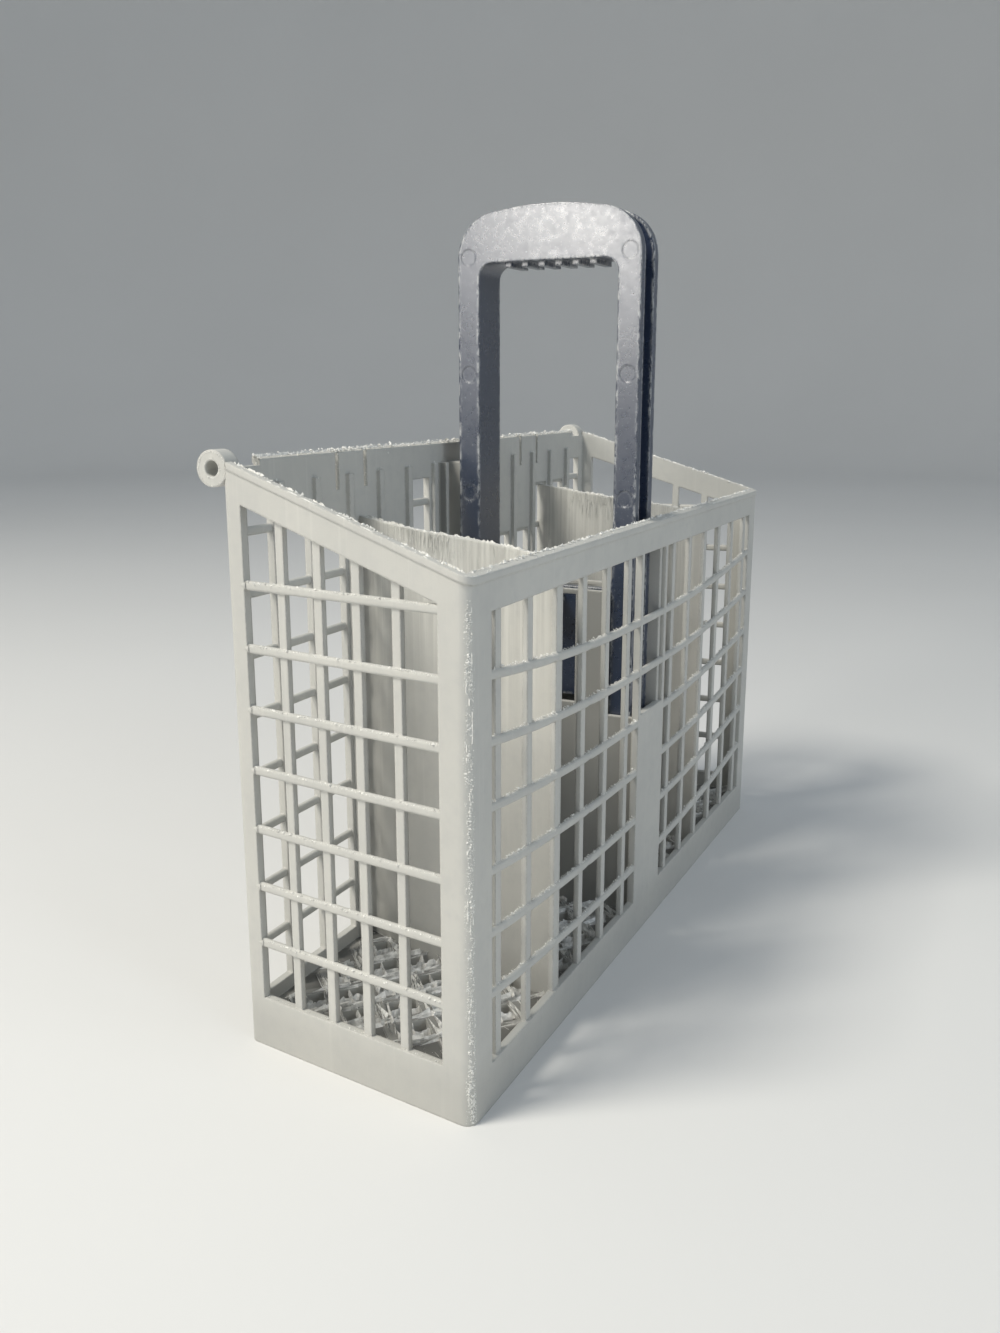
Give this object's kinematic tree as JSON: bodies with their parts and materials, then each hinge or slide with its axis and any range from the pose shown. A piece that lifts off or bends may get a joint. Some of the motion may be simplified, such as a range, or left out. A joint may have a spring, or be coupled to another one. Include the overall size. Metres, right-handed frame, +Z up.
{
  "type": "dishwasher cutlery basket",
  "caption": "Open lattice cutlery basket for a dishwasher, with a sloping rim, slanted dividers, lid hinge eyes and a dark loop handle that slides up from a central pocket.",
  "frame": {"origin": "on the surface that the basket stands on, under the middle of the overall box", "axes": "+Z up, +X along the long walls, -Y out of the low front wall, +Y out of the tall back wall"},
  "size_m": [0.2518, 0.081, 0.2274],
  "materials": {
    "basket_plastic": "light grey polypropylene, matt, with rough moulding flash along its edges",
    "handle_plastic": "very dark navy polypropylene, satin, scuffed along its edges"
  },
  "bodies": {
    "basket": {"basket": "basket_plastic"},
    "handle": {"handle": "handle_plastic"}
  },
  "joints": [
    {"name": "handle_slide", "type": "slide", "parent": "basket", "child": "handle", "axis": [0, 0, 1], "range_m": [-0.03, 0]}
  ]
}
